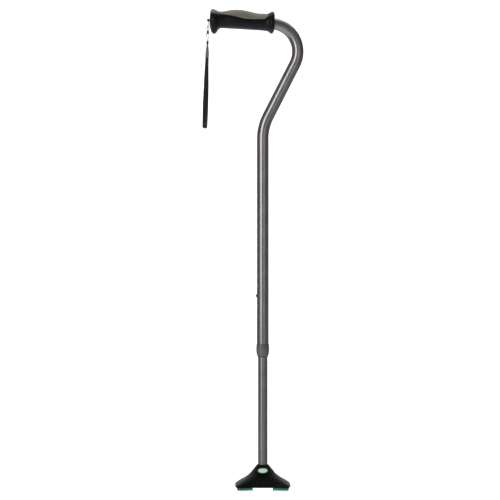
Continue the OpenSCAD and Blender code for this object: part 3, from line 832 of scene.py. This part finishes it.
for loop in webbing.data.loops:
    v = loop.vertex_index
    if v >= ring_size * len(web_rings):
        v = 0
    i, j = divmod(v, ring_size)
    uv.data[loop.index].uv = ((j % 17) / 16 * 2 * WEB_HALF, web_run[i])
sharp(webbing, 70)
wear(webbing, black_weave, "black_webbing", "strap", "strap_webbing")

# Folded reflective sleeve over the webbing's ends: distance down, half-width and half-thickness
TAB = [(44.6, 1.0, 0.9), (45.2, 1.35, 1.15), (48, 1.9, 1.4), (52, 2.9, 1.55), (57, 4.4, 1.75),
       (62, 5.05, 1.85), (67, 5.3, 1.85), (70.4, 5.35, 1.8), (71.0, 5.25, 1.6)]
TAB_MOUTH = [70.0, 5.05, 1.3]
FLAT_U, FLAT_V = 0.45, 0.75


def sleeve_point(d, half, thick, a):
    """Point on the sleeve's flat oval section."""
    c, s = math.cos(a), math.sin(a)
    return strap_place(math.copysign(abs(c) ** FLAT_U, c) * half, math.copysign(abs(s) ** FLAT_V, s) * thick, d)


def sleeve_level(u, half, thick):
    """Height of the sleeve's face at u across it."""
    return thick * (1 - (abs(u) / half) ** (2 / FLAT_U)) ** (FLAT_V / 2)


tab_sections = smooth_path([list(t) for t in TAB], 4) + [TAB_MOUTH]
tab = loft("reflective_sleeve", [[sleeve_point(*section, a) for a in turn_angles(48)] for section in tab_sections])
uv = tab.data.uv_layers.new(name="UVMap")
for loop in tab.data.loops:
    v = tab.data.vertices[loop.vertex_index].co / MM
    uv.data[loop.index].uv = (v.y, v.z)
sharp(tab, 60)
wear(tab, reflective, "reflective_fabric", "strap", "reflective_tab")

# Two seams down each face of the sleeve, and one across its mouth
spots = []
down_dir = (on_strap(0, 0, 1) - on_strap(0, 0, 0)).normalized()
wide_dir = (strap_place(1, 0, 0) - strap_place(0, 0, 0)).normalized()
flat_dir = (strap_place(0, 1, 0) - strap_place(0, 0, 0)).normalized()
for face in (1, -1):
    for edge in (-1, 1):
        for k in range(12):
            d = 49.5 + k * 1.75
            half = table(d, [[t[0], t[1]] for t in TAB])
            thick = table(d, [[t[0], t[2]] for t in TAB])
            u = edge * (half - 0.85)
            spots.append((strap_place(u, face * sleeve_level(u, half, thick), d), down_dir, flat_dir * face))
    for k in range(6):
        u = -3.9 + k * 1.56
        spots.append((strap_place(u, face * sleeve_level(u, 5.3, 1.85), 69.4), wide_dir, flat_dir * face))
seam = stitches("sleeve_stitching", spots, 1.15, 0.14)
wear(seam, grey_thread, "black_cord", "strap")

# ---------------------------------------------------------------- floor and light

pale = plain_material("floor_pale", (0.8, 0.8, 0.8), (0.82, 0.82, 0.82), (0.6, 0.7), grain=20,
                      grain_strength=0.0, specular=0.1, patch=1.0, glow=0.45)
FLOOR_Z = -0.8
FLOOR_FRONT, FLOOR_BACK = -4.0, 1.6
SWEEP_R = 0.8
SWEEP_HALF = 3.0
WALL_TOP = 3.2
curve_pts = [(FLOOR_FRONT, FLOOR_Z), (FLOOR_BACK, FLOOR_Z)]
for k in range(1, 13):
    a = math.pi / 2 * k / 12
    curve_pts.append((FLOOR_BACK + SWEEP_R * math.sin(a), FLOOR_Z + SWEEP_R * (1 - math.cos(a))))
curve_pts.append((FLOOR_BACK + SWEEP_R, WALL_TOP))
verts = [(x, y, z) for y, z in curve_pts for x in (-SWEEP_HALF, SWEEP_HALF)]
faces = [(2 * i, 2 * i + 1, 2 * i + 3, 2 * i + 2) for i in range(len(curve_pts) - 1)]
sweep = add_mesh("studio_sweep", verts, faces)
sweep.data.materials.append(pale)


def area(name, place, target, size, power):
    """White rectangular lamp aimed at a target."""
    data = bpy.data.lights.new(name, "AREA")
    data.shape = "RECTANGLE"
    data.size, data.size_y = size
    data.energy = power
    lamp = bpy.data.objects.new(name, data)
    lamp.location = place
    lamp.rotation_euler = (Vector(target) - Vector(place)).to_track_quat("-Z", "Y").to_euler()
    bpy.context.scene.collection.objects.link(lamp)


area("key", (-2.0, -2.9, 1.3), (0, 0, 0.5), (0.8, 2.2), 62)
area("fill", (1.6, -3.4, 0.9), (0, 0, 0.45), (1.0, 1.4), 10)
area("top", (0, 0.9, 3.2), (0, 0.9, 0), (2.4, 1.6), 26)
area("back_wash", (0, 0.6, 2.4), (0, 2.4, 0.7), (2.6, 1.0), 30)

world = bpy.data.worlds.new("studio")
world.use_nodes = True
world.node_tree.nodes["Background"].inputs["Color"].default_value = (1, 1, 1, 1)
world.node_tree.nodes["Background"].inputs["Strength"].default_value = 0.2
bpy.context.scene.world = world
bpy.context.scene.view_settings.view_transform = "Standard"
